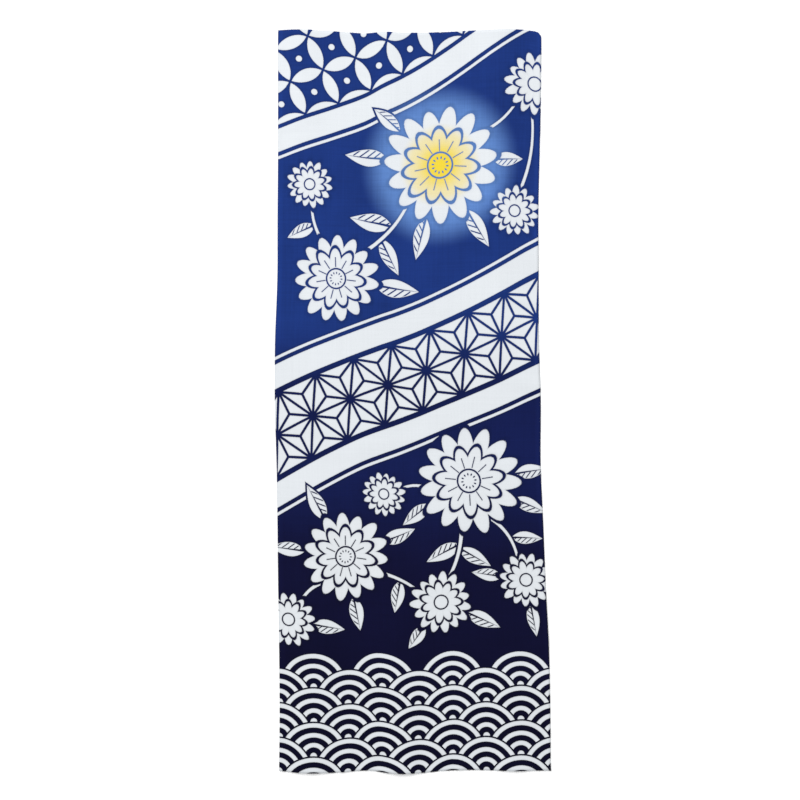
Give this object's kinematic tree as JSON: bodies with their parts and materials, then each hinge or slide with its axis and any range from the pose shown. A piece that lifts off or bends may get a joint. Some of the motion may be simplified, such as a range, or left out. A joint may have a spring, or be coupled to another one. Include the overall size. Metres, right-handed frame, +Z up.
{
  "type": "tenugui towel",
  "caption": "Long plain-woven cotton hand towel, lying flat with low ripples, for drying, wrapping or display.",
  "frame": {"origin": "centre of the cloth's footprint, on the surface that it lies on", "axes": "+X across the width from the left selvedge to the right one, +Y along the length to the upper cut end, +Z up out of the printed face"},
  "size_m": [0.3351, 0.903, 0.0046],
  "materials": {
    "dyed_cotton": "plain-woven cotton, resist-dyed from royal blue to navy on white, matt"
  },
  "bodies": {
    "root": {"tenugui_cloth": "dyed_cotton"}
  },
  "joints": []
}
